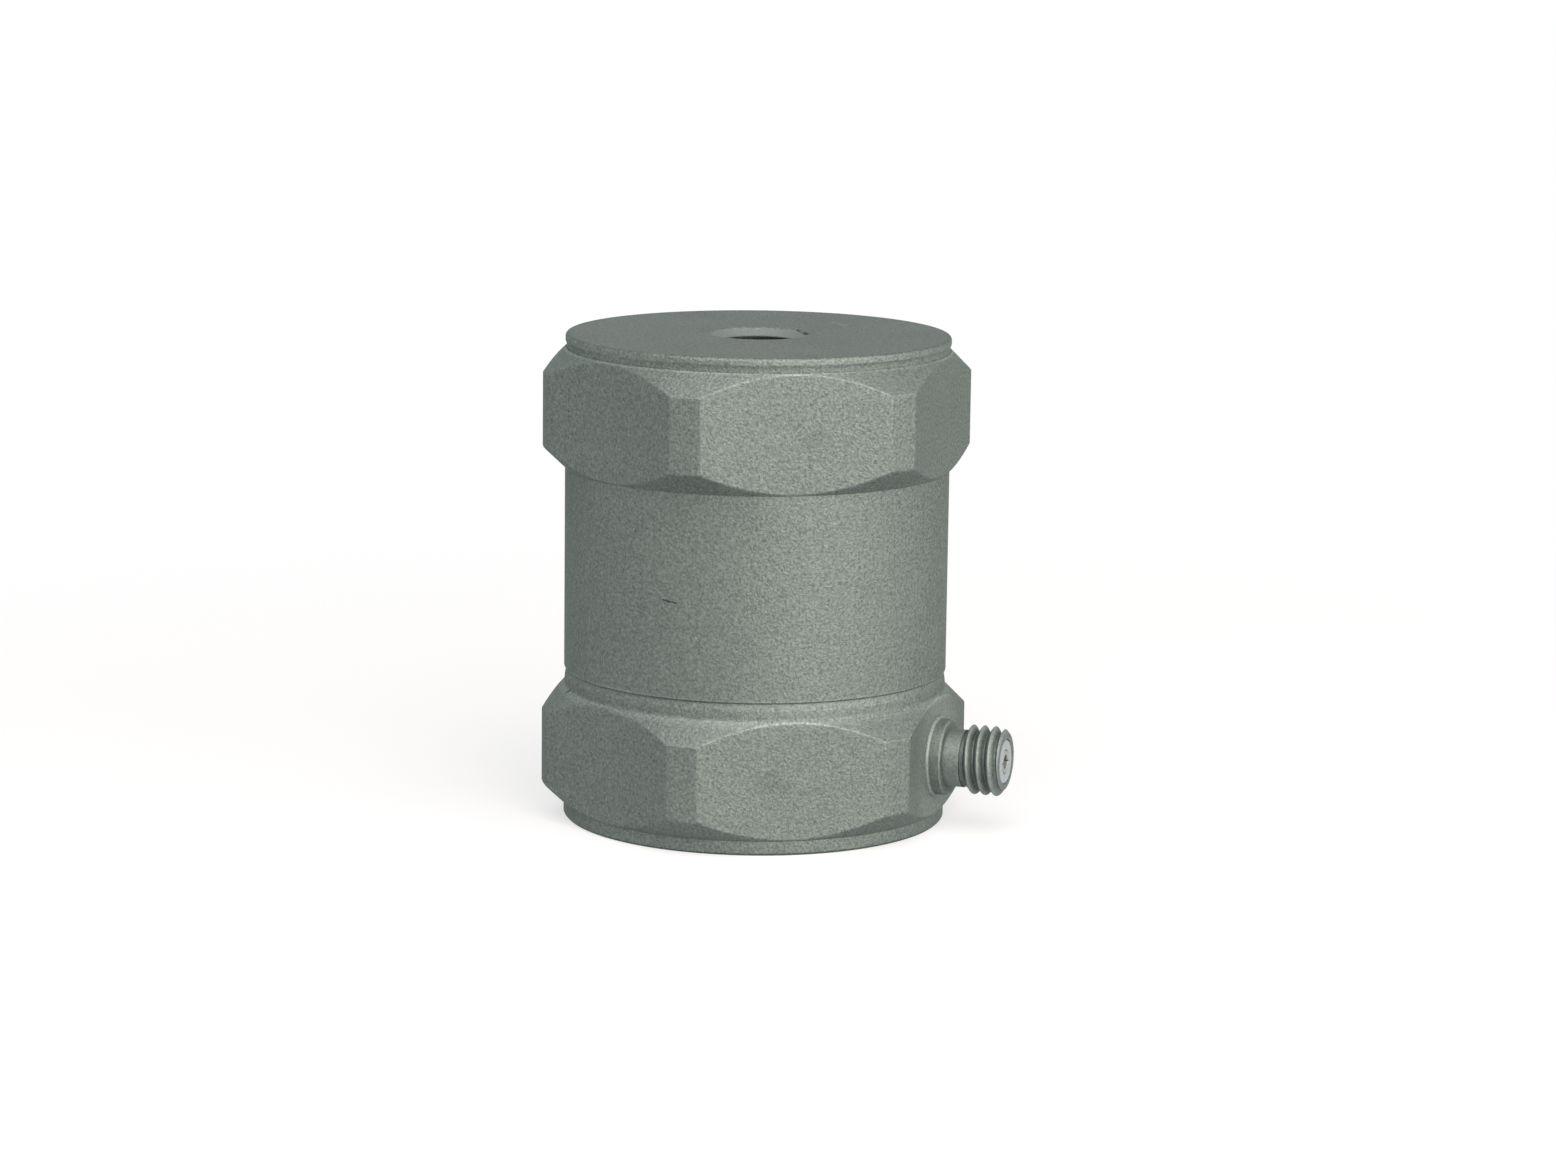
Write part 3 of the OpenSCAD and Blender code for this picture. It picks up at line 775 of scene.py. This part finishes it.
def blasted_steel(colours):
    """Bead-blasted steel: fine grain, faint clouds, painted highlights on the edges, painted shade in the
    corners and holes, and a few marks
    """
    made, tree, shader = new_material("blasted_steel")
    grain = place_group(tree, group_once("grain", grain_group), **STEEL_GRAIN)
    edges = place_group(tree, group_once("edges", edge_group), Reach=STEEL_REACH)
    rounding = node(tree, "Attribute", attribute_name="wear_and_highlight", attribute_type="GEOMETRY").outputs["Fac"]
    wear_and_highlight = math_node(tree, "MULTIPLY", rounding, ramp(tree, grain["Height"], *WEAR_GRAIN))
    wear_and_highlight = math_node(tree, "MULTIPLY", wear_and_highlight, ramp(tree, grain["Clouds"], *WEAR_CLOUDS))
    wall, cone = hole_masks(tree)
    effects = (
        # Painted highlights on the outer edges and painted shade in the inner corners
        (edges["Edge"], STEEL_SHADES["edge"]),
        # The rubbed roundings, lightened as wear and as a painted highlight
        (wear_and_highlight, STEEL_SHADES["wear_and_highlight"]),
        (edges["Corner"], STEEL_SHADES["corner"]),
        (scuffs(tree, SMUDGES), STEEL_SHADES["smudge"]),
        # Painted shade inside the tapped holes
        (wall, -colours.tapped),
        # Painted highlight on the countersinks
        (cone, colours.sink_highlight),
        # Painted highlight that lifts the flat round the connector
        (flat_highlight_mask(tree), STEEL_SHADES["weld"]),
        # Painted bands of light and shade on the turned edges
        *rings(tree),
    )
    blasted = math_node(tree, "MULTIPLY_ADD", cone, -CUT_SMOOTHNESS, 1.0)
    mottle = math_node(tree, "SUBTRACT", grain["Shade"], 1.0)
    shade = shaded(tree, math_node(tree, "MULTIPLY_ADD", mottle, blasted, 1.0), effects)
    bright = math_node(tree, "MULTIPLY", scuffs(tree, BRIGHT_SCUFFS), BRIGHT_COVER)
    dark = scuffs(tree, DARK_SCUFFS)
    body = blend_node(tree, bright, scale_node(tree, colours.steel[:], shade), (*colours.bright, 1))
    body = blend_node(tree, math_node(tree, "MULTIPLY", dark, DARK_COVER), body, (*colours.soot, 1))
    link(tree, body, shader, "Base Color")
    rough = cloudy_roughness(tree, grain, colours.steel_roughness, STEEL_SPREAD)
    link(tree, math_node(tree, "MULTIPLY_ADD", wear_and_highlight, -WORN_GLOSS, rough), shader, "Roughness")
    set_metal(shader, colours.bare)
    height = math_node(tree, "SUBTRACT", grain["Height"], dark)
    bump(tree, shader, math_node(tree, "MULTIPLY", height, blasted), STEEL_RELIEF)
    return made


def connector_masks(tree):
    """Masks of the painted shade in the relief and the thread's roots, of the end, of the collar for
    painted shade and of its weld bead for a painted highlight
    """
    place = object_place(tree)
    low = ramp(tree, from_connector(tree, place), *ROOT_SHADE_RADII)
    past_neck = math_node(tree, "GREATER_THAN", place["X"], NECK_END)
    tip = math_node(tree, "GREATER_THAN", place["X"], TIP_START)
    root_shade = math_node(tree, "MULTIPLY", low, math_node(tree, "SUBTRACT", past_neck, tip))
    collar = math_node(tree, "LESS_THAN", place["X"], COLLAR_END)
    bead = math_node(tree, "LESS_THAN", place["X"], BEAD_END)
    return root_shade, tip, collar, bead


def connector_steel(colours):
    """Machined steel of the connector's shell: finer grain, painted shade in the roots and corners, painted
    highlights on the edges and crests
    """
    made, tree, shader = new_material("machined_steel")
    grain = place_group(tree, group_once("grain", grain_group), **CONNECTOR_GRAIN)
    edges = place_group(tree, group_once("edges", edge_group), Reach=CONNECTOR_REACH)
    root_shade, tip, collar, bead = connector_masks(tree)
    effects = (
        # Painted highlights on the outer edges and painted shade in the inner corners
        (edges["Edge"], CONNECTOR_SHADES["edge"]),
        (edges["Corner"], CONNECTOR_SHADES["corner"]),
        # Painted shade in the relief and the thread's roots
        (root_shade, -colours.root_shade),
        (tip, CONNECTOR_SHADES["tip"]),
        # Painted shade on the collar
        (collar, CONNECTOR_SHADES["collar"]),
        # Painted highlight on the weld bead
        (bead, CONNECTOR_SHADES["bead"]),
    )
    shade = shaded(tree, grain["Shade"], effects)
    link(tree, scale_node(tree, colours.thread_steel[:], shade), shader, "Base Color")
    rough = cloudy_roughness(tree, grain, colours.thread_roughness, CONNECTOR_SPREAD)
    link(tree, rough, shader, "Roughness")
    set_metal(shader, colours.bare)
    bump(tree, shader, grain["Height"], CONNECTOR_RELIEF)
    return made


def plain_finish(name, tint, metallic, roughness, contrast=0.2, gloss=0.5):
    """A finish with a grain of its own: tint, gloss and a light relief"""
    made, tree, shader = new_material(name)
    grain = place_group(tree, group_once("grain", grain_group), Contrast=contrast, **PLAIN_GRAIN)
    link(tree, scale_node(tree, tint, grain["Shade"]), shader, "Base Color")
    rough = cloudy_roughness(tree, grain, roughness, PLAIN_SPREAD)
    link(tree, rough, shader, "Roughness")
    shader.inputs["Metallic"].default_value = metallic
    shader.inputs["Specular IOR Level"].default_value = gloss
    bump(tree, shader, grain["Height"], PLAIN_RELIEF)
    return made


class SENSOR_OT_base(bpy.types.Operator):
    """Builds the base: low hexagon, rim, weld lip, spigot and the tapped hole in its underside"""

    bl_idname = "sensor.base"
    bl_label = "Build Base"

    def execute(self, context):
        s = context.scene.sensor_body
        c = context.scene.sensor_connector
        half, stops = hexagon_stops()
        seam = HOUSING_LOW.z
        sink_h = (s.base_sink_r - s.tap_r) / math.tan(s.sink_angle / 2)
        row = s.thread_pitch / TAP_ROWS
        spigot_r = s.bore_r - s.spigot_gap
        outline = [(0, s.tap_depth + s.point_h)]
        outline += rows((s.tap_r, s.tap_depth), (s.tap_r, sink_h), row)
        outline += rows((s.tap_r, sink_h), (s.base_sink_r, 0), row)
        outline += [(s.base_sink_r, 0), (s.barrel_r - s.foot_bevel, 0), (s.barrel_r, s.foot_bevel)]
        outline += hexagon_bar(s, s.rim_h)
        outline += [(s.barrel_r - s.collar_t, seam - s.lip_h), (s.barrel_r - s.lip_t, seam)]
        outline += [(spigot_r, seam), (spigot_r, BASE_HIGH.z), (s.screw_hole_r, BASE_HIGH.z)]
        outline += [(s.screw_hole_r, s.screw_hole_z), (0, s.screw_hole_z)]
        bm = turned(outline, stops, -half)
        mill_flats(bm, BASE_HIGH.x)
        round_body(bm, s)
        tap_hole(bm, s, 0.0, s.base_sink_r, sink_h)
        piece = mesh_object("base_body", bm)
        drill(piece, self.pockets(s, c))
        finish_piece(piece, bpy.data.materials["blasted_steel"], "base")
        return {"FINISHED"}

    def pockets(self, s, c):
        """The connector's seat and chamber, the wire's channel and the pillars' stud holes"""
        bm = bmesh.new()
        over = s.rim_h
        lead_low, lead_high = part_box("output_lead")
        lead = (lead_low + lead_high) / 2
        seat_r = c.tail_r + c.fit_gap
        rod(bm, seat_r, (SHELL_LOW.x, 0, CONNECTOR_Z), (BASE_HIGH.x + over, 0, CONNECTOR_Z), ROUND_STEPS)
        rod(bm, s.chamber_r, (s.chamber_x, 0, CONNECTOR_Z), (SHELL_LOW.x + over, 0, CONNECTOR_Z))
        rod(bm, s.channel_r, (lead.x, 0, CONNECTOR_Z), (lead.x, 0, BASE_HIGH.z + over))
        for number in (1, 2, 3):
            low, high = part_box(f"board_pillar_{number}")
            place = ((low + high) / 2).to_2d()
            rod(bm, s.stud_hole_r, (*place, BASE_HIGH.z - s.stud_hole_l), (*place, BASE_HIGH.z + over))
        return bm


class SENSOR_OT_housing(bpy.types.Operator):
    """Builds the housing: barrel, upper hexagon, grooved rim, hollow and the tapped hole in its top"""

    bl_idname = "sensor.housing"
    bl_label = "Build Housing"

    def execute(self, context):
        s = context.scene.sensor_body
        half, stops = hexagon_stops()
        seam = HOUSING_LOW.z
        top = HOUSING_HIGH.z
        hexagon_z = top - s.rim_h - s.chamfer_up_h - s.land_h - s.chamfer_low_h
        groove_z = top - s.rim_h
        sink_h = (s.top_sink_r - s.tap_r) / math.tan(s.sink_angle / 2)
        row = s.thread_pitch / TAP_ROWS
        outline = [(0, top - s.ceiling_t), (s.bore_r, top - s.ceiling_t), (s.bore_r, seam)]
        outline += [(s.barrel_r - s.seam_bevel, seam), (s.barrel_r, seam + s.seam_bevel)]
        outline += hexagon_bar(s, hexagon_z)
        outline += [(s.barrel_r - s.groove_t, groove_z), (s.barrel_r - s.groove_t, groove_z + s.groove_h)]
        outline += [(s.barrel_r, groove_z + s.groove_h + s.groove_run)]
        outline += arc((s.barrel_r - s.top_round, top - s.top_round), s.top_round, 0, 90, ARC_STEPS)
        outline += rows((s.top_sink_r, top), (s.tap_r, top - sink_h), row)
        outline += rows((s.tap_r, top - sink_h), (s.tap_r, top - s.tap_depth), row)
        outline += [(s.tap_r, top - s.tap_depth), (0, top - s.tap_depth - s.point_h)]
        bm = turned(outline, stops, -half)
        mill_flats(bm, BASE_HIGH.x)
        round_body(bm, s)
        tap_hole(bm, s, top, s.top_sink_r, sink_h)
        piece = mesh_object("housing_body", bm)
        finish_piece(piece, bpy.data.materials["blasted_steel"], "housing")
        return {"FINISHED"}


class SENSOR_OT_connector(bpy.types.Operator):
    """Builds the side connector: welded collar, neck, thread, white insulator and slit contact"""

    bl_idname = "sensor.connector"
    bl_label = "Build Connector"

    def execute(self, context):
        c = context.scene.sensor_connector
        self.shell(c)
        self.insulator(c)
        self.contact(c)
        return {"FINISHED"}

    def shell(self, c):
        """The threaded shell, welded to the flat at its collar's foot"""
        flat = BASE_HIGH.x
        collar = flat + c.collar_l
        neck = collar + c.neck_l
        thread = neck + c.relief_l
        tip = SHELL_HIGH.x
        bore_r = (PLASTIC_HIGH.z - PLASTIC_LOW.z) / 2 + c.fit_gap
        row = c.pitch / THREAD_ROWS
        outline = [(bore_r, SHELL_LOW.x), (c.tail_r, SHELL_LOW.x), (c.tail_r, flat)]
        outline += arc((c.collar_r, flat), c.weld, 0, 90, WELD_STEPS)
        outline += [(c.collar_r, collar - c.collar_bevel), (c.collar_r - c.collar_bevel, collar)]
        outline += [(c.neck_r, collar), (c.neck_r, neck), (c.relief_r, neck), (c.relief_r, thread)]
        outline += rows((c.thread_r, thread), (c.thread_r, tip - c.tip_l), row)
        outline += rows((c.thread_r, tip - c.tip_l), (c.tip_r, tip), row)
        outline += [(c.tip_r, tip), (bore_r, tip)]
        bm = turned(outline, [(2 * math.pi, ROUND_STEPS)], closed=True)
        cut_thread(bm, c, thread, tip)
        lay_along_x(bm)
        piece = mesh_object("connector_thread", bm)
        finish_piece(piece, bpy.data.materials["machined_steel"], "connector_shell")

    def insulator(self, c):
        """The white insulator round the contact"""
        outer_r = (PLASTIC_HIGH.z - PLASTIC_LOW.z) / 2
        inner_r = (CONTACT_HIGH.z - CONTACT_LOW.z) / 2 + c.fit_gap
        tip = PLASTIC_HIGH.x
        step = tip - c.contact_l
        outline = [(c.pin_r + c.fit_gap, PLASTIC_LOW.x), (outer_r, PLASTIC_LOW.x)]
        outline += [(outer_r, tip - c.small_bevel), (outer_r - c.small_bevel, tip)]
        outline += [(inner_r + c.small_bevel, tip), (inner_r, tip - c.small_bevel)]
        outline += [(inner_r, step), (c.pin_r + c.fit_gap, step)]
        bm = turned(outline, [(2 * math.pi, ROUND_STEPS)], closed=True)
        lay_along_x(bm)
        piece = mesh_object("insulator_ring", bm)
        finish_piece(piece, bpy.data.materials["white_insulator"], "connector_insulator")

    def contact(self, c):
        """The socket contact, slit so that it grips a pin"""
        outer_r = (CONTACT_HIGH.z - CONTACT_LOW.z) / 2
        tip = CONTACT_HIGH.x
        step = tip - c.contact_l
        outline = [(0, CONTACT_LOW.x), (c.pin_r, CONTACT_LOW.x), (c.pin_r, step), (outer_r, step)]
        outline += [(outer_r, tip - c.small_bevel), (outer_r - c.small_bevel, tip)]
        outline += [(c.socket_r + c.small_bevel, tip), (c.socket_r, tip - c.small_bevel)]
        outline += [(c.socket_r, tip - c.socket_l), (0, tip - c.socket_l)]
        bm = turned(outline, [(2 * math.pi, ROUND_STEPS)])
        lay_along_x(bm)
        piece = mesh_object("contact_socket", bm)
        slit = bmesh.new()
        size = Matrix.Diagonal((2 * c.slit_l, 4 * outer_r, c.slit_w, 1))
        bmesh.ops.create_cube(slit, size=1.0, matrix=Matrix.Translation((tip, 0, CONNECTOR_Z)) @ size)
        drill(piece, slit)
        finish_piece(piece, bpy.data.materials["plated_contact"], "connector_contact")


class SENSOR_OT_finishes(bpy.types.Operator):
    """Makes the finishes of the outer pieces"""

    bl_idname = "sensor.finishes"
    bl_label = "Make Finishes"

    def execute(self, context):
        colours = context.scene.sensor_colours
        blasted_steel(colours)
        connector_steel(colours)
        insulator = {"metallic": 0.0, "roughness": 0.5, "contrast": 0.08, "gloss": 0.15}
        plain_finish("white_insulator", colours.plastic[:], **insulator)
        plain_finish("plated_contact", colours.contact[:], metallic=0.5, roughness=0.5, gloss=0.15)
        return {"FINISHED"}


# Finishes of the pieces inside: the pieces, the colour, how metallic it is and its roughness
INNER_FINISHES = {
    "ground_steel": (("element_post", "preload_ring"), (0.42, 0.43, 0.42), 1.0, 0.34),
    "black_oxide": (("post_screw", "board_screws"), (0.035, 0.036, 0.04), 0.8, 0.45),
    "piezo_ceramic": (("piezo_plate_1", "piezo_plate_2", "piezo_plate_3"), (0.62, 0.53, 0.37), 0.0, 0.6),
    "tungsten_alloy": (("seismic_mass_1", "seismic_mass_2", "seismic_mass_3"), (0.2, 0.2, 0.215), 1.0, 0.4),
    "turned_brass": (("board_pillar_1", "board_pillar_2", "board_pillar_3"), (0.6, 0.42, 0.15), 1.0, 0.3),
    "board_laminate": (("circuit_board",), (0.015, 0.11, 0.04), 0.0, 0.4),
    "moulded_black": (("amplifier_chip", "board_resistors"), (0.02, 0.02, 0.022), 0.0, 0.55),
    "fired_tan": (("coupling_capacitor",), (0.42, 0.28, 0.14), 0.0, 0.5),
    "copper_wire": (("signal_lead", "output_lead"), (0.6, 0.26, 0.13), 1.0, 0.32),
}


class SENSOR_OT_inside(bpy.types.Operator):
    """Gives each piece inside the housing its finish"""

    bl_idname = "sensor.inside"
    bl_label = "Finish Inside"

    def execute(self, context):
        for name, (members, tint, metallic, roughness) in INNER_FINISHES.items():
            finish = plain_finish(name, tint, metallic, roughness)
            for member in members:
                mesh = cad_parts[member].data
                mesh.materials.clear()
                mesh.materials.append(finish)
        return {"FINISHED"}


# The camera's place and the point that it looks at, fitted to the photograph's outline
CAMERA_AT = Vector((101.134, -293.716, 73.283)) * MM
CAMERA_LOOKS_AT = Vector((1.468, 0.505, 16.398)) * MM
NEAREST_SEEN = 10 * MM
# Soft lamps: degrees round from the front and above the floor, and watts of red, green and blue
LAMPS = {
    "key": (55, 11, (3.6, 3.06, 2.72)),
    "side": (104, 10, (1.35, 1.35, 1.35)),
    "fill": (15, 57, (2.8, 2.65, 2.6)),
    "rim": (-116, 15, (0.42, 0.45, 0.45)),
}


class SENSOR_OT_stage(bpy.types.Operator):
    """Sets the white floor, the surroundings, the soft lamps and the camera"""

    bl_idname = "sensor.stage"
    bl_label = "Set Stage"

    def execute(self, context):
        s = context.scene.sensor_stage
        context.scene.view_settings.view_transform = "Standard"
        self.floor(s)
        self.surroundings(context, s)
        for name, (azimuth, elevation, power) in LAMPS.items():
            self.lamp(s, name, azimuth, elevation, power)
        self.camera(context, s)
        return {"FINISHED"}

    def seen(self, tree):
        """1 for rays from the camera and for reflected or refracted ones"""
        path = node(tree, "LightPath").outputs
        rays = math_node(tree, "ADD", path["Is Camera Ray"], path["Is Glossy Ray"], clamp=True)
        return math_node(tree, "ADD", rays, path["Is Transmission Ray"], clamp=True)

    def floor(self, s):
        """A white floor that keeps the sensor's shadow and is clear from below"""
        bm = bmesh.new()
        low = Matrix.Translation((0, 0, BASE_LOW.z - s.floor_drop))
        bmesh.ops.create_grid(
            bm,
            x_segments=FLOOR_CELLS,
            y_segments=FLOOR_CELLS,
            size=s.floor / 2,
            matrix=low,
        )
        made = mesh_object("floor", bm)
        material, tree, shader = new_material("white_floor")
        tree.nodes.remove(shader)
        matt = node(tree, "BsdfDiffuse", {"Color": (*s.matt_floor, 1)}).outputs[0]
        glow = node(tree, "Emission", {"Color": (*s.background, 1), "Strength": 1.0}).outputs[0]
        away = vector_node(tree, "LENGTH", node(tree, "TexCoord").outputs["Object"], output="Value")
        plain = ramp(tree, away, s.near, s.far, s.glow, 1.0, smooth=True)
        mirrored = node(tree, "LightPath").outputs["Is Glossy Ray"]
        white = math_node(tree, "MAXIMUM", plain, mirrored)
        lit = node(tree, "MixShader", {0: white, 1: matt, 2: glow}).outputs[0]
        seen = node(tree, "MixShader", {0: self.seen(tree), 1: matt, 2: lit}).outputs[0]
        clear = node(tree, "BsdfTransparent").outputs[0]
        below = node(tree, "NewGeometry").outputs["Backfacing"]
        whole = node(tree, "MixShader", {0: below, 1: seen, 2: clear}).outputs[0]
        tree.links.new(whole, tree.nodes["Material Output"].inputs["Surface"])
        made.data.materials.append(material)

    def surroundings(self, context, s):
        """White surroundings, dimmer as a light on matt pieces"""
        world = bpy.data.worlds.new("studio")
        context.scene.world = world
        world.use_nodes = True
        tree = world.node_tree
        tree.nodes.clear()
        level = ramp(tree, self.seen(tree), 0.0, 1.0, s.ambient, 1.0)
        light = node(tree, "Background", {"Color": (*s.background, 1), "Strength": level})
        out = node(tree, "OutputWorld")
        tree.links.new(light.outputs[0], out.inputs["Surface"])

    def lamp(self, s, name, azimuth, elevation, power):
        """A square soft lamp that faces the sensor"""
        turn = math.radians(azimuth)
        rise = math.radians(elevation)
        level = math.cos(rise)
        away = Vector((math.sin(turn) * level, -math.cos(turn) * level, math.sin(rise)))
        data = bpy.data.lights.new(name, "AREA")
        data.shape = "SQUARE"
        data.size = s.lamp_size
        data.energy = max(power)
        data.color = [channel / max(power) for channel in power]
        made = bpy.data.objects.new(name, data)
        made.location = Vector((0, 0, HOUSING_HIGH.z / 2)) + away * s.lamp_distance
        made.rotation_mode = "QUATERNION"
        made.rotation_quaternion = (-away).to_track_quat("-Z", "Y")
        bpy.context.scene.collection.objects.link(made)

    def camera(self, context, s):
        """The camera, at the photograph's place and roll"""
        data = bpy.data.cameras.new("camera")
        data.lens = s.lens
        data.sensor_width = s.sensor
        data.clip_start = NEAREST_SEEN
        made = bpy.data.objects.new("camera", data)
        sight = (CAMERA_LOOKS_AT - CAMERA_AT).to_track_quat("-Z", "Y")
        made.location = CAMERA_AT
        made.rotation_mode = "QUATERNION"
        made.rotation_quaternion = sight @ Quaternion((0, 0, 1), s.roll)
        context.scene.collection.objects.link(made)
        context.scene.camera = made


STEPS = (
    SENSOR_OT_finishes,
    SENSOR_OT_base,
    SENSOR_OT_housing,
    SENSOR_OT_connector,
    SENSOR_OT_inside,
    SENSOR_OT_stage,
)


class SENSOR_PT_panel(bpy.types.Panel):
    """Lists the steps that dress the sensor"""

    bl_idname = "SENSOR_PT_panel"
    bl_label = "Vibration Sensor"
    bl_space_type = "VIEW_3D"
    bl_region_type = "UI"
    bl_category = "Sensor"

    def draw(self, context):
        for step in STEPS:
            self.layout.operator(step.bl_idname)


SETTINGS = {
    "sensor_body": BodySizes,
    "sensor_connector": ConnectorSizes,
    "sensor_colours": FinishColours,
    "sensor_stage": StageSettings,
}


def register():
    """Registers the settings, the steps and the panel"""
    for name, group in SETTINGS.items():
        bpy.utils.register_class(group)
        setattr(bpy.types.Scene, name, PointerProperty(type=group))
    for step in STEPS:
        bpy.utils.register_class(step)
    bpy.utils.register_class(SENSOR_PT_panel)


def unregister():
    """Takes the panel, the steps and the settings away again"""
    bpy.utils.unregister_class(SENSOR_PT_panel)
    for step in reversed(STEPS):
        bpy.utils.unregister_class(step)
    for name, group in reversed(SETTINGS.items()):
        delattr(bpy.types.Scene, name)
        bpy.utils.unregister_class(group)


def main():
    """Dresses the frame"""
    register()
    bpy.ops.sensor.finishes()
    bpy.ops.sensor.base()
    bpy.ops.sensor.housing()
    bpy.ops.sensor.connector()
    bpy.ops.sensor.inside()
    bpy.ops.sensor.stage()


if __name__ == "__main__":
    main()
